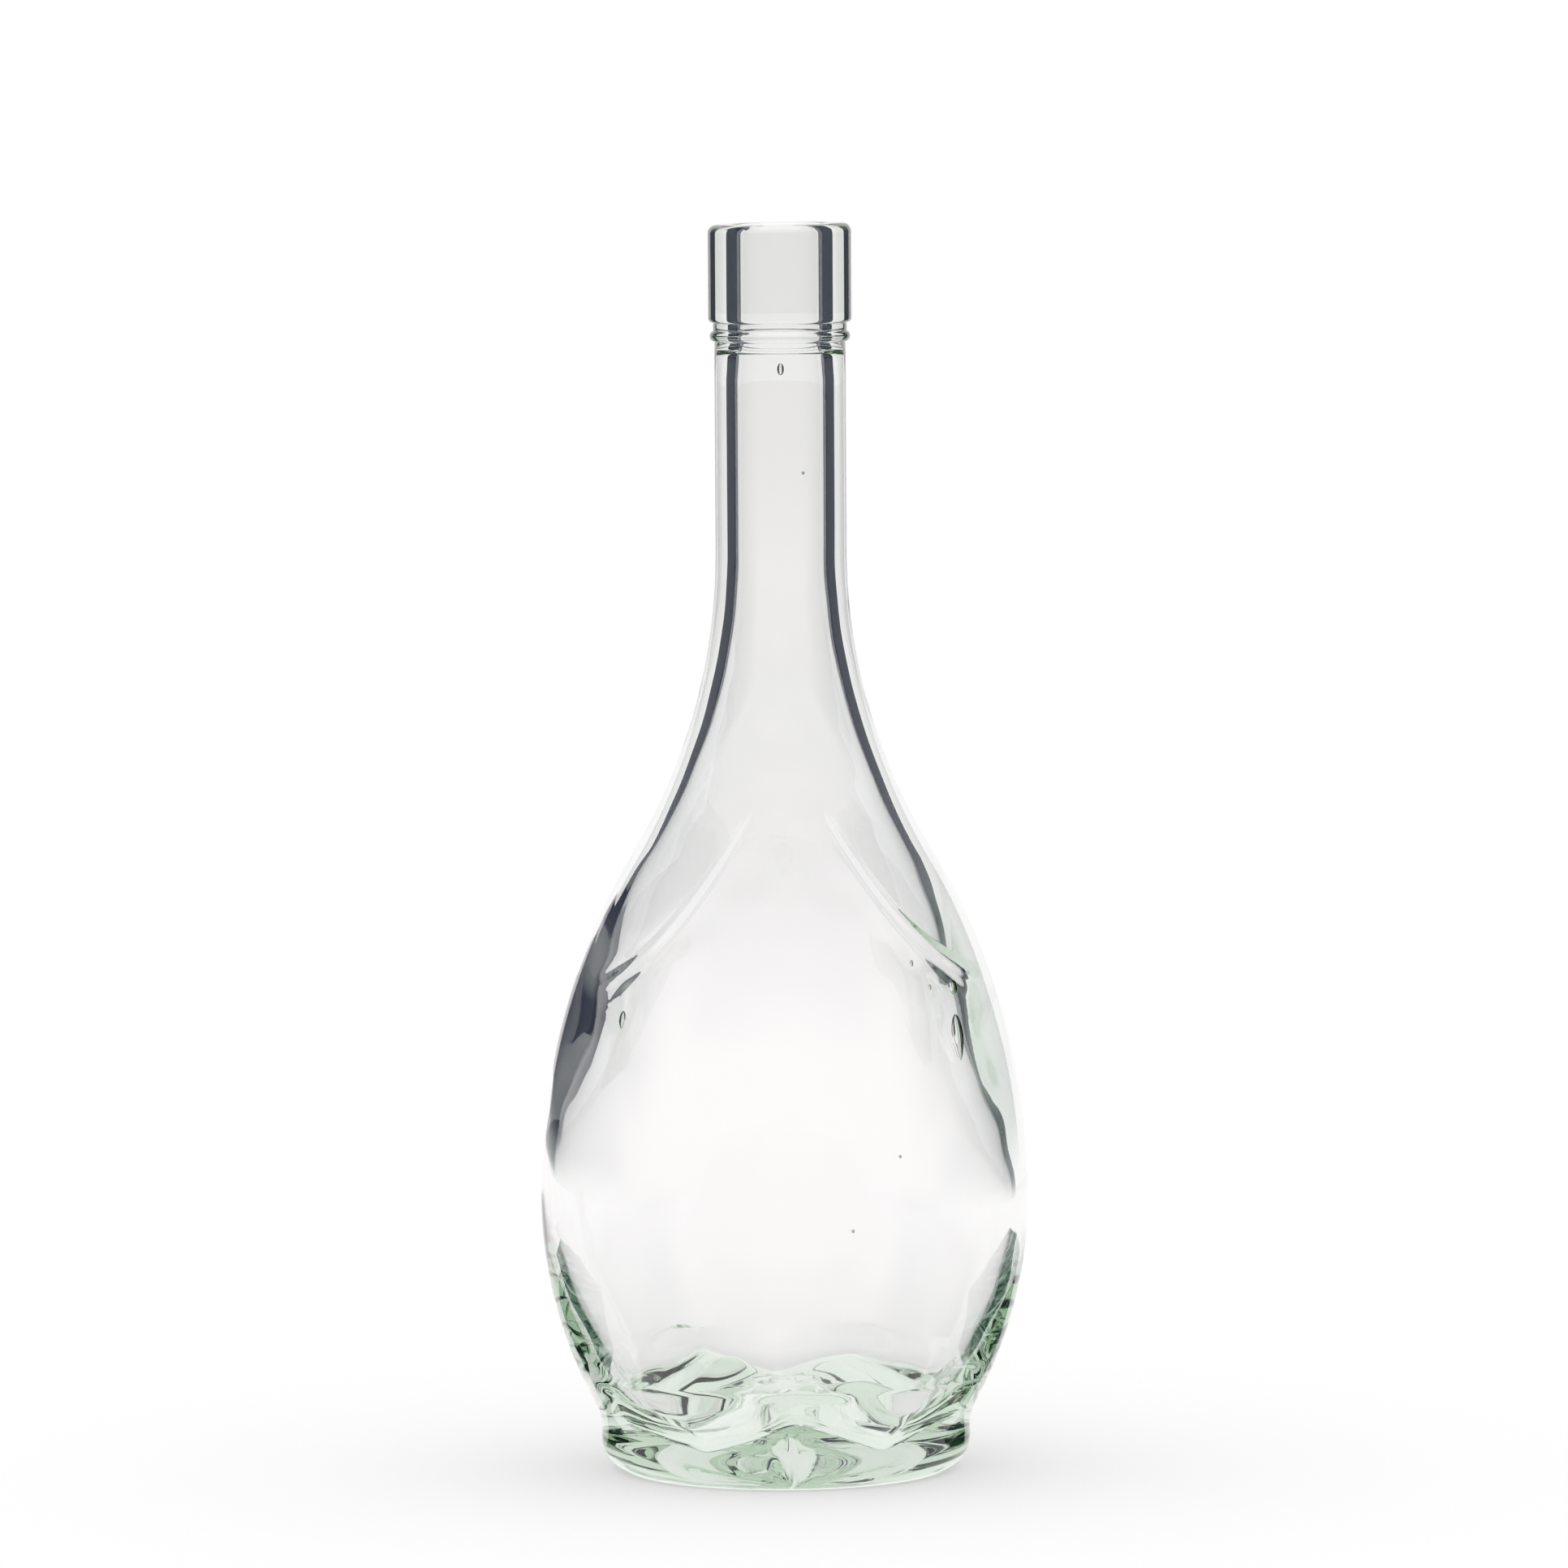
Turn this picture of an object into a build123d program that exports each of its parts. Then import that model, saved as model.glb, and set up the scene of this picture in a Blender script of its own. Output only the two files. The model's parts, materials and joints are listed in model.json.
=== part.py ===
from build123d import *

import os
from math import cos, pi, sin, sqrt

# A pear-shaped bottle of clear blown glass, with a long straight neck, a mouth
# for a cork, a label panel with a tent-shaped top on its front and back, and a
# five-pointed star pressed up into its base. It is one piece of glass.
# Millimetres, +Z up, +Y to the back. The origin is the centre of the ring
# that the bottle stands on.

# Outline of the body, from the foot up
body_diameter = 100.4
belly_height = 57.0
shoulder_length = 132.2
shoulder_hollow_share = 0.464
neck_diameter = 26.9
neck_length = 46.9

# Foot and standing ring
foot_diameter = 76.0
foot_band_height = 2.4
waist_radius = 10.0
heel_radius = 6.5
standing_ring_width = 2.0
standing_ring_inner_radius = 2.5

# Mouth: a smooth collar, a groove under it and a bead under that
collar_height = 20.4
collar_step = 1.25
collar_lower_radius = 0.9
rim_outer_radius = 1.8
rim_inner_radius = 1.2
groove_height = 1.5
groove_step = 0.25
bead_step = 0.95
bead_radius = 1.25

# Hollow inside
cork_bore_diameter = 17.5
cork_bore_depth = 24.0
bore_run_out_height = 8.0
neck_wall = 4.15
belly_wall = 2.6
inner_belly_rise = 1.5
inner_hollow_share = 0.476
heel_wall = 5.4
heel_floor = 6.0
inner_heel_radius = 7.0
star_floor = 4.6

# Push-up under the base and the star in it
punt_height = 8.6
star_points = 5
star_rise = 4.0
star_margin = 1.0
star_notch_share = 0.6
star_top_share = 0.42

# Label panel, front and back: its shares are of the body radius, of the
# shoulder's length above the belly, and of the belly's height below it
panel_depth = 1.6
panel_foot_depth = 0.3
panel_width_share = 0.7
panel_peak_share = 0.518
panel_corner_share = 0.34
panel_widest_share = 0.295
panel_foot_share = 0.21
tent_sag = 3.2
inner_panel_margin = 1.5

# How far a cutting tool runs past the surface that it cuts
overrun = 3.0

body_radius = body_diameter / 2
neck_radius = neck_diameter / 2
foot_radius = foot_diameter / 2
bore_radius = cork_bore_diameter / 2
collar_radius = neck_radius + collar_step
neck_foot_height = belly_height + shoulder_length
collar_foot_height = neck_foot_height + neck_length
total_height = collar_foot_height + collar_height
waist_height = heel_radius + foot_band_height
ring_outer_radius = foot_radius - heel_radius
ring_inner_radius = ring_outer_radius - standing_ring_width
star_tip_radius = ring_inner_radius - star_margin
star_top_height = punt_height + star_rise
floor_peak_height = star_top_height + star_floor


def on_arc(centre, radius, up, across):
    """A point of a round stretch, by the sine and cosine of its direction."""
    return (centre[0] + radius * across, centre[1] + radius * up)


def halfway(sine, cosine):
    """Sine and cosine of half of an angle."""
    return sqrt((1 - cosine) / 2), sqrt((1 + cosine) / 2)


def quarter_arc(centre, radius, across, up):
    """A quarter circle in the outline, bulging to one of four corners."""
    level = (centre[0] + across * radius, centre[1])
    upright = (centre[0], centre[1] + up * radius)
    bulge = radius * cos(pi / 4)
    middle = (centre[0] + across * bulge, centre[1] + up * bulge)
    return ThreePointArc(level, middle, upright)


class Pear:
    """A pear-shaped wall, the bottle's outside or its inside.

    From the neck's foot a hollow arc curves outwards, and a round arc carries
    on from it without a corner to the belly, the widest place, where the wall
    is upright. A third arc leads from the belly down towards the foot.
    """

    def __init__(self, neck, belly, widest_height, hollow_share, lower_radius):
        spread = belly - neck
        drop = neck_foot_height - widest_height
        both_radii = (spread ** 2 + drop ** 2) / (2 * spread)
        self.neck = neck
        self.belly = belly
        self.widest_height = widest_height
        self.hollow = both_radii * hollow_share
        self.round = both_radii - self.hollow
        self.lower = lower_radius
        self.sine = drop / both_radii
        self.cosine = 1 - spread / both_radii
        self.hollow_centre = (neck + self.hollow, neck_foot_height)
        self.round_centre = (belly - self.round, widest_height)
        self.lower_centre = (belly - lower_radius, widest_height)
        self.meeting = on_arc(self.round_centre, self.round, self.sine, self.cosine)

    def shoulder(self):
        """The hollow arc and the round arc, from the neck to the belly."""
        half_sine, half_cosine = halfway(self.sine, self.cosine)
        return [
            ThreePointArc(
                (self.neck, neck_foot_height),
                on_arc(self.hollow_centre, -self.hollow, half_sine, half_cosine),
                self.meeting,
            ),
            ThreePointArc(
                self.meeting,
                on_arc(self.round_centre, self.round, half_sine, half_cosine),
                (self.belly, self.widest_height),
            ),
        ]

    def lower_arc(self, down, across):
        """The arc below the belly, as far as a given direction."""
        half_down, half_across = halfway(down, across)
        return ThreePointArc(
            (self.belly, self.widest_height),
            on_arc(self.lower_centre, self.lower, -half_down, half_across),
            on_arc(self.lower_centre, self.lower, -down, across),
        )

    def radius_at(self, height):
        """The wall's radius at a height between the foot and the neck."""
        if height > self.meeting[1]:
            rise = neck_foot_height - height
            return self.hollow_centre[0] - sqrt(self.hollow ** 2 - rise ** 2)
        if height > self.widest_height:
            rise = height - self.widest_height
            return self.round_centre[0] + sqrt(self.round ** 2 - rise ** 2)
        drop = self.widest_height - height
        return self.lower_centre[0] + sqrt(self.lower ** 2 - drop ** 2)


def outer_wall():
    """The outside, whose lower arc runs smoothly into the waist's hollow."""
    gap = body_radius - foot_radius - waist_radius
    drop = belly_height - waist_height
    lower = (gap ** 2 + drop ** 2 - waist_radius ** 2) / (2 * (waist_radius + gap))
    return Pear(neck_radius, body_radius, belly_height, shoulder_hollow_share, lower)


def inner_wall():
    """The inside, whose lower arc runs smoothly into the floor's corner."""
    belly = body_radius - belly_wall
    widest_height = belly_height + inner_belly_rise
    gap = belly - (foot_radius - heel_wall - inner_heel_radius)
    drop = widest_height - heel_floor - inner_heel_radius
    lower = (gap ** 2 + drop ** 2 - inner_heel_radius ** 2) / (2 * (gap - inner_heel_radius))
    return Pear(neck_radius - neck_wall, belly, widest_height, inner_hollow_share, lower)


def spun(edges):
    """A solid of revolution about Z, from an outline in the XZ plane."""
    outline = Plane.XZ * make_face(Curve() + edges)
    return revolve(outline, Axis.Z)


def mouth_outline():
    """Outside of the mouth, from the rim down to the neck's foot."""
    groove_radius = neck_radius + groove_step
    bead_middle_height = collar_foot_height - groove_height - bead_radius
    bead_centre = (neck_radius + bead_step - bead_radius, bead_middle_height)
    bead_out = (neck_radius + bead_step, bead_middle_height)
    into_neck = neck_radius - bead_centre[0]
    into_groove = groove_radius - bead_centre[0]
    bead_foot = (neck_radius, bead_middle_height - sqrt(bead_radius ** 2 - into_neck ** 2))
    bead_top = (groove_radius, bead_middle_height + sqrt(bead_radius ** 2 - into_groove ** 2))
    rim_centre = (collar_radius - rim_outer_radius, total_height - rim_outer_radius)
    lower_centre = (collar_radius - collar_lower_radius, collar_foot_height + collar_lower_radius)
    groove_top = (groove_radius, collar_foot_height)
    return [
        quarter_arc(rim_centre, rim_outer_radius, 1, 1),
        Line((collar_radius, rim_centre[1]), (collar_radius, lower_centre[1])),
        quarter_arc(lower_centre, collar_lower_radius, 1, -1),
        Line((lower_centre[0], collar_foot_height), groove_top),
        Line(groove_top, bead_top),
        ThreePointArc(bead_top, bead_out, bead_foot),
        Line(bead_foot, (neck_radius, neck_foot_height)),
    ]


def foot_outline(wall):
    """Outside below the belly: waist, upright foot, heel and standing ring."""
    waist_centre = (foot_radius + waist_radius, waist_height)
    reach = wall.lower + waist_radius
    down = (belly_height - waist_height) / reach
    across = (waist_centre[0] - wall.lower_centre[0]) / reach
    half_down, half_across = halfway(down, across)
    heel_centre = (ring_outer_radius, heel_radius)
    return [
        wall.lower_arc(down, across),
        ThreePointArc(
            on_arc(wall.lower_centre, wall.lower, -down, across),
            on_arc(waist_centre, -waist_radius, -half_down, half_across),
            (foot_radius, waist_height),
        ),
        Line((foot_radius, waist_height), (foot_radius, heel_radius)),
        quarter_arc(heel_centre, heel_radius, 1, -1),
        Line((ring_outer_radius, 0), (ring_inner_radius, 0)),
    ]


def punt_outline():
    """Underside within the standing ring: a rounded edge, then a dome."""
    edge = standing_ring_inner_radius
    spread = ring_inner_radius ** 2 + punt_height ** 2
    dome = (spread - 2 * edge * punt_height) / (2 * punt_height)
    edge_centre = (ring_inner_radius, edge)
    dome_centre = (0, punt_height - dome)
    across = edge_centre[0] / (dome + edge)
    up = (edge_centre[1] - dome_centre[1]) / (dome + edge)
    half_across, half_up = halfway(across, up)
    meeting = on_arc(dome_centre, dome, up, across)
    return [
        ThreePointArc(
            (ring_inner_radius, 0),
            on_arc(edge_centre, -edge, half_up, half_across),
            meeting,
        ),
        ThreePointArc(
            meeting,
            on_arc(dome_centre, dome, half_up, half_across),
            (0, punt_height),
        ),
    ]


def outer_form():
    """The bottle as if it were solid glass."""
    wall = outer_wall()
    edges = mouth_outline() + wall.shoulder() + foot_outline(wall) + punt_outline()
    edges.append(Line((0, punt_height), (0, total_height)))
    edges.append(Line((0, total_height), (collar_radius - rim_outer_radius, total_height)))
    return spun(edges)


def bore_outline(wall):
    """The cork's bore with its rounded lip, and the neck's inside below it."""
    top = total_height + overrun
    lip = bore_radius + rim_inner_radius
    bore_top = total_height - rim_inner_radius
    bore_foot = total_height - cork_bore_depth
    run_out_foot = bore_foot - bore_run_out_height
    turn = rim_inner_radius * (1 - cos(pi / 4))
    return [
        Line((0, top), (lip, top)),
        Line((lip, top), (lip, total_height)),
        ThreePointArc(
            (lip, total_height),
            (bore_radius + turn, total_height - turn),
            (bore_radius, bore_top),
        ),
        Line((bore_radius, bore_top), (bore_radius, bore_foot)),
        Line((bore_radius, bore_foot), (wall.neck, run_out_foot)),
        Line((wall.neck, run_out_foot), (wall.neck, neck_foot_height)),
    ]


def floor_outline(wall):
    """Inside below the belly: lower wall, rounded corner and domed floor."""
    corner_centre = (foot_radius - heel_wall - inner_heel_radius, heel_floor + inner_heel_radius)
    reach = wall.lower - inner_heel_radius
    down = (wall.widest_height - corner_centre[1]) / reach
    across = (corner_centre[0] - wall.lower_centre[0]) / reach
    rise = floor_peak_height - heel_floor
    spread = corner_centre[0] ** 2 + rise ** 2
    dome = (spread - 2 * inner_heel_radius * rise) / (2 * rise)
    dome_centre = (0, floor_peak_height - dome)
    dome_reach = dome + inner_heel_radius
    dome_across = corner_centre[0] / dome_reach
    dome_up = (corner_centre[1] - dome_centre[1]) / dome_reach
    half_across, half_up = halfway(dome_across, dome_up)
    meeting = on_arc(dome_centre, dome, dome_up, dome_across)
    return [
        wall.lower_arc(down, across),
        ThreePointArc(
            on_arc(wall.lower_centre, wall.lower, -down, across),
            (corner_centre[0], heel_floor),
            meeting,
        ),
        ThreePointArc(
            meeting,
            on_arc(dome_centre, dome, half_up, half_across),
            (0, floor_peak_height),
        ),
    ]


def hollow():
    """The room inside, from above the mouth down to the domed floor."""
    wall = inner_wall()
    edges = bore_outline(wall) + wall.shoulder() + floor_outline(wall)
    edges.append(Line((0, floor_peak_height), (0, total_height + overrun)))
    return spun(edges) - panels(wall, inner_panel_margin)


def panel_window(margin):
    """The label panel as seen from the front: a tent on half an ellipse."""
    half_width = body_radius * panel_width_share + margin
    peak = (0, belly_height + shoulder_length * panel_peak_share + margin)
    corner = (half_width, belly_height + shoulder_length * panel_corner_share + margin)
    widest_height = belly_height + shoulder_length * panel_widest_share
    foot = (0, belly_height - belly_height * panel_foot_share - margin)
    rise = peak[1] - corner[1]
    slope = sqrt(half_width ** 2 + rise ** 2)
    sagging = (
        (half_width - tent_sag * 2 * rise / slope) / 2,
        (peak[1] + corner[1] - tent_sag * 2 * half_width / slope) / 2,
    )
    right_half = make_face(Curve() + [
        ThreePointArc(peak, sagging, corner),
        Line(corner, (half_width, widest_height)),
        EllipticalCenterArc(
            (0, widest_height),
            half_width,
            widest_height - foot[1],
            start_angle=270,
            arc_size=90,
        ),
        Line(foot, peak),
    ])
    return right_half + mirror(right_half, Plane.YZ)


def panel_skin(wall, margin):
    """The ring of glass that the panels take off a wall, thinner downwards."""
    foot_height = belly_height - belly_height * panel_foot_share - margin - overrun
    top_height = belly_height + shoulder_length * panel_peak_share + margin + overrun
    middle_height = (foot_height + top_height) / 2
    foot = (wall.radius_at(foot_height) - panel_foot_depth, foot_height)
    middle = (wall.radius_at(middle_height) - panel_depth, middle_height)
    top = (wall.radius_at(top_height) - panel_depth, top_height)
    reach = body_radius + overrun
    return spun([
        ThreePointArc(foot, middle, top),
        Line(top, (reach, top_height)),
        Line((reach, top_height), (reach, foot_height)),
        Line((reach, foot_height), foot),
    ])


def panels(wall, margin=0):
    """Front and back label panels, cut square to the mould's parting plane."""
    reach = body_radius + overrun
    window = extrude(Plane.XZ * panel_window(margin), amount=reach, both=True)
    return window & panel_skin(wall, margin)


def star_outline(share):
    """The star's outline with one point to the front, at a share of its size."""
    tip = star_tip_radius * share
    notch = tip * star_notch_share
    corners = []
    for step in range(2 * star_points):
        reach = notch if step % 2 else tip
        turn = pi * step / star_points
        corners.append((reach * sin(turn), -reach * cos(turn)))
    return make_face(Polyline(*corners, close=True))


def star_push_up():
    """The star pressed up into the base: slanting facets and a level top."""
    foot = star_outline(1)
    top = Pos(0, 0, star_top_height) * star_outline(star_top_share)
    return loft([foot, top], ruled=True)


def glass_bottle():
    """The whole bottle, one piece of glass with an open mouth."""
    return outer_form() - panels(outer_wall()) - star_push_up() - hollow()


os.makedirs("parts", exist_ok=True)

bottle = glass_bottle()
bottle.label = "glass_bottle"
export_step(bottle, "parts/glass_bottle.step")

brim_box = Pos(0, 0, total_height / 2) * Box(body_diameter, body_diameter, total_height)
print("total height, mm:", round(total_height, 2))
print("glass, cubic centimetres:", round(bottle.volume / 1000, 1))
print("brimful, cubic centimetres:", round((hollow() & brim_box).volume / 1000, 1))
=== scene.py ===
import json
from math import acos, asin, ceil, cos, pi, radians, sin, sqrt

import bpy
import numpy as np
from mathutils import Euler, Matrix, Vector


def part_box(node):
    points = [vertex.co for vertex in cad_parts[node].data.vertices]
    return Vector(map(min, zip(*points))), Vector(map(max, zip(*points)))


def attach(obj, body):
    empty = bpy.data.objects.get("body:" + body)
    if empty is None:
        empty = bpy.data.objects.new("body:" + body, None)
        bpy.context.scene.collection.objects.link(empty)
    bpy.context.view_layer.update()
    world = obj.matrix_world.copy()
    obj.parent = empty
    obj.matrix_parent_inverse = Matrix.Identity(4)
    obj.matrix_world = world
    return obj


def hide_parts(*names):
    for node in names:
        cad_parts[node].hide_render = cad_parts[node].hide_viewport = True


bl_info = {
    "name": "Genie bottle",
    "version": (1, 0, 0),
    "blender": (4, 5, 0),
    "location": "3D View > Sidebar > Bottle",
    "description": "A pear-shaped clear glass bottle with label panels and a star in its base",
    "category": "Add Mesh",
}

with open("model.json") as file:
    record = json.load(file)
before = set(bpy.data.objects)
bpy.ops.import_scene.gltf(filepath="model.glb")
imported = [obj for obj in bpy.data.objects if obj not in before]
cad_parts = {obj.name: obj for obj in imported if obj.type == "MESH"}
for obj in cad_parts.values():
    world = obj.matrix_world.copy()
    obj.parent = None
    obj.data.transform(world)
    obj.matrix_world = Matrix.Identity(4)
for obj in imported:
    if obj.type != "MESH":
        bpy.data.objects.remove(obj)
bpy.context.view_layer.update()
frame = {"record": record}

NODE = "glass_bottle"
GLASS_NAME = "bottle_glass"
MOUNTS = {mount["name"]: mount for mount in frame["record"]["mounts"]}


def length(name, default, description):
    """A length in metres that a user may change."""
    return bpy.props.FloatProperty(
        name=name,
        description=description,
        default=default,
        min=0.0,
        precision=5,
        subtype="DISTANCE",
        unit="LENGTH",
    )


def share(name, default, description):
    """A plain share of another size."""
    return bpy.props.FloatProperty(name=name, description=description, default=default)


def angle(name, degrees, description):
    """An angle, stated here in degrees."""
    return bpy.props.FloatProperty(
        name=name, description=description, default=radians(degrees), subtype="ANGLE"
    )


def colour(name, default, description):
    """A linear colour."""
    return bpy.props.FloatVectorProperty(
        name=name,
        description=description,
        default=default,
        size=len(default),
        min=0.0,
        soft_max=1.0,
        subtype="COLOR",
    )


class BottleOutline(bpy.types.PropertyGroup):
    """The outside of the bottle, seen from the side."""

    height: length("Height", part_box(NODE)[1].z, "From the table to the rim")
    body_radius: length("Body radius", 0.0502, "At the belly")
    belly_height: length("Belly height", 0.0570, "Height of the widest place")
    shoulder_length: length("Shoulder length", 0.1322, "From the belly up to the neck's foot")
    shoulder_hollow: share(
        "Shoulder hollow share", 0.464, "Hollow arc's part of both shoulder arcs"
    )
    neck_radius: length("Neck radius", 0.01345, "Outside of the neck")
    neck_length: length("Neck length", 0.0469, "From the shoulder to the collar")
    foot_radius: length("Foot radius", 0.0380, "Upright band above the heel")
    foot_band: length("Foot band height", 0.0024, "Upright stretch of the foot")
    waist_radius: length("Waist arc radius", 0.0100, "Hollow between body and foot")
    heel_radius: length("Heel arc radius", 0.0065, "Rounding down to the table")
    ring_width: length("Standing ring width", 0.0020, "Level ring that touches the table")
    ring_edge: length("Standing ring inner arc", 0.0025, "Rounding from the ring into the push-up")
    punt_height: length("Push-up height", 0.0086, "Dome under the base")
    collar_radius: length(
        "Collar radius", MOUNTS["collar"]["dims"]["r_mm"] / 1000, "Outside of the mouth"
    )
    collar_edge: length("Collar lower arc", 0.0009, "Rounding under the collar")
    rim_edge: length("Rim outer arc", 0.0018, "Rounding at the top")
    rim_lip: length("Rim inner arc", 0.0012, "Rounding into the bore")
    groove_height: length("Groove height", 0.0015, "Groove under the collar")
    groove_step: length("Groove step", 0.00025, "How far the groove stands out from the neck")
    bead_step: length("Bead step", 0.00095, "How far the bead stands out from the neck")
    bead_radius: length("Bead arc radius", 0.00125, "Rounding of the bead")


class BottleHollow(bpy.types.PropertyGroup):
    """The inside of the bottle, from the cork's bore to the floor."""

    bore_radius: length(
        "Bore radius", MOUNTS["mouth_bore"]["dims"]["r_mm"] / 1000, "Bore for the cork"
    )
    bore_depth: length("Bore depth", 0.0240, "Straight bore, from the rim down")
    run_out: length("Bore run-out", 0.0080, "Slope from the bore to the neck's inside")
    neck_wall: length("Neck wall", 0.00415, "Glass in the neck")
    belly_wall: length("Belly wall", 0.0026, "Glass at the belly")
    belly_rise: length("Inner belly rise", 0.0015, "Widest place inside above the one outside")
    shoulder_hollow: share("Inner shoulder hollow share", 0.476, "As outside, for the inside")
    heel_wall: length("Heel wall", 0.0054, "Glass in the foot")
    heel_floor: length("Heel floor", 0.0105, "Lowest point of the inside")
    corner_radius: length("Floor corner arc", 0.0070, "Rounding from wall to floor")
    floor_peak: length("Floor peak height", 0.0145, "Middle of the floor")
    ripple: length("Ripple", 0.00004, "Unevenness of the inside, as blown")


class PanelRelief(bpy.types.PropertyGroup):
    """The label panels on the front and back."""

    half_width: length("Half width", 0.0345, "From the middle to the side")
    peak_height: length("Peak height", 0.1255, "Top of the tent")
    corner_height: length("Corner height", 0.1020, "Where the tent meets the sides")
    widest_height: length("Widest height", 0.0960, "Where the lower curve starts")
    foot_height: length("Foot height", 0.0450, "Bottom of the lower curve")
    sag: length("Sag", 0.0032, "How far each tent edge sags")
    depth: length("Depth", 0.0006, "How far the panel lies in")
    foot_depth: length("Foot depth", 0.0002, "The same at its foot")
    peak_band: length("Band at the peak", 0.0100, "Width of the slope over the tent's top")
    side_band: length("Band at the sides", 0.0030, "Width of the slope at the sides")


class CrestLine(bpy.types.PropertyGroup):
    """The fine raised line round the front panel's top."""

    shift: length("Shift", 0.0010, "How far right of the axis its middle lies")
    reach: length("Reach", 0.0351, "From its middle to each end")
    start: length("Start height", 0.1018, "Height of its ends")
    slope: share("Slope", 0.85, "Rise at its ends")
    curve: share("Curve", 14.5, "How much steeper it gets towards the middle, per metre")
    gap: length("Gap", 0.0065, "From its middle to where it starts")
    rise: length("Rise", 0.00018, "How far it stands out")
    width: length("Width", 0.0012, "Half its width")


class StarRelief(bpy.types.PropertyGroup):
    """The five-pointed star pressed up into the base."""

    points: bpy.props.IntProperty(name="Points", description="Arms of the star", default=5)
    tip_radius: length("Tip radius", 0.0288, "From the middle to a point")
    notch: share("Notch share", 0.55, "Radius between the points, as a share of the tip's")
    top: share("Top share", 0.42, "Size of the level top, as a share of the star's")
    rise: length("Rise", 0.0112, "Height of the level top above the table")
    softness: length("Softness", 0.0018, "Rounding of its edges")
    lobe_rise: length("Lobe rise", 0.0035, "How far the floor inside rises over the arms")
    lobe_start: length("Lobe start", 0.0040, "Radius from which the floor is lobed")
    lobe_full: length("Lobe full", 0.0200, "Radius from which the lobes have their full height")
    lobe_sharp: share("Lobe sharpness", 0.97, "1 for folds between the lobes, 0 for waves")
    twist: angle("Twist", 4, "Turn of the star round the axis")
    lean: share("Lean", 0.03, "Slope of the floor inside, up towards the back")


class GlassFinish(bpy.types.PropertyGroup):
    """The glass itself."""

    index: share("Index of refraction", 1.52, "Soda-lime glass")
    tint: colour("Tint", (0.42, 0.625, 0.41), "Colour of the light that thick glass lets through")
    density: share("Tint density", 16.0, "Strength of the tint, per metre of glass")
    wave: length("Wave height", 0.00002, "Faint waves of the blown surface")


class PhotoStudio(bpy.types.PropertyGroup):
    """Camera, floor and dark surroundings."""

    camera_distance: length("Camera distance", 2.1, "From the bottle's axis")
    camera_height: length("Camera height", 0.315, "Above the table")
    aim_height: length("Aim height", 0.1413, "Height that the camera looks at")
    aim_side: length("Aim to the side", 0.00033, "How far right of the axis it looks")
    lens: share("Lens", 235.6, "Focal length in millimetres on a sensor 36 mm wide")
    roll: angle("Roll", 0.32, "Lean of the picture")
    floor_size: length("Floor size", 60.0, "Side of the white floor")
    floor_white: share("Floor white", 0.62, "How much light the floor throws back")
    floor_lift: share("Floor lift", 0.40, "Added so that the unshadowed floor is white")
    near_lift: colour("Near lift", (1.06, 0.97, 1.03), "The same as seen in the glass, near by")
    far_lift: colour("Far lift", (0.85, 0.775, 0.825), "The same as seen in the glass, far behind")
    fade_start: length("Fade start", 0.9, "How far behind the bottle the far lift starts")
    fade_end: length("Fade end", 2.9, "How far behind the bottle it is reached")
    sky: colour("Plain light", (1.025, 1.0, 1.025), "Colour of the plain light all round")
    dark: colour("Dark surroundings", (0.034, 0.038, 0.062), "Colour of the dark cards")
    # Painted shade: dark glowing sheets on the table beside the bottle, seen only in the glass,
    # with paler streaks painted in.
    shade: colour("Shaded table", (0.035, 0.075, 0.062), "Colour of the table beside the bottle")
    shade_pale: colour("Streaks in the shade", (0.42, 0.52, 0.47), "Paler streaks in that shade")
    # Painted light: a pale glowing disc on the table under the base, seen only in the glass, where
    # the bottle's shadow would be.
    under: colour("Light under the base", (0.94, 0.97, 0.94), "The table under the bottle")
    under_radius: length("Light under radius", 0.046, "How far it reaches from the axis")
    warm: colour("Front light", (1.0, 0.92, 0.84), "Colour of the soft light in front")
    card_side: length("Card distance", 0.168, "From the axis to the card at each side")
    card_front: length("Front card distance", 0.18, "From the axis to the card in front")
    card_height: length("Card height", 0.60, "Height of the cards above the table")
    light_end: length("Light end", 0.02, "How far in front of the axis the sides turn dark")
    light_start: length("Light start", 0.10, "How far in front of the axis they are still light")
    dark_back: length("Dark card reach", 0.235, "How far behind the bottle the side cards end")
    dark_foot: length("Dark card foot", 0.045, "Height at which the side cards start")
    dark_low_right: length("Right card low reach", 0.19, "How far the right card reaches low down")
    dark_step: length("Right card step", 0.115, "Height from which it reaches further")
    dark_full: length("Dark card full", 0.070, "Height at which they have left the foot's colour")
    foot_pale: colour("Dark card foot colour", (0.84, 0.86, 0.85), "Pale colour at their foot")
    dark_low_back: length("Low dark card reach", 0.33, "The same for the low card on the left")
    dark_low_foot: length("Low dark card foot", 0.055, "Height at which that card starts")
    dark_low_height: length("Low dark card height", 0.135, "Height at which it ends")


class BottleSizes(bpy.types.PropertyGroup):
    """All sizes and colours of the bottle and its studio."""

    outline: bpy.props.PointerProperty(type=BottleOutline, name="Outline")
    hollow: bpy.props.PointerProperty(type=BottleHollow, name="Hollow")
    panel: bpy.props.PointerProperty(type=PanelRelief, name="Label panels")
    crest: bpy.props.PointerProperty(type=CrestLine, name="Crest line")
    star: bpy.props.PointerProperty(type=StarRelief, name="Star")
    glass: bpy.props.PointerProperty(type=GlassFinish, name="Glass")
    studio: bpy.props.PointerProperty(type=PhotoStudio, name="Studio")


def settings():
    """The sidebar's sizes."""
    return bpy.context.scene.bottle


# An arc has at least so many steps, however small it is.
ARC_STEPS = 3


def arc(centre, radius, start, end, spacing):
    """Points along an arc between two angles, without the last one."""
    count = max(ARC_STEPS, ceil(abs(end - start) * radius / spacing))
    turns = [start + (end - start) * step / count for step in range(count)]
    return [(centre[0] + radius * cos(turn), centre[1] + radius * sin(turn)) for turn in turns]


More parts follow.
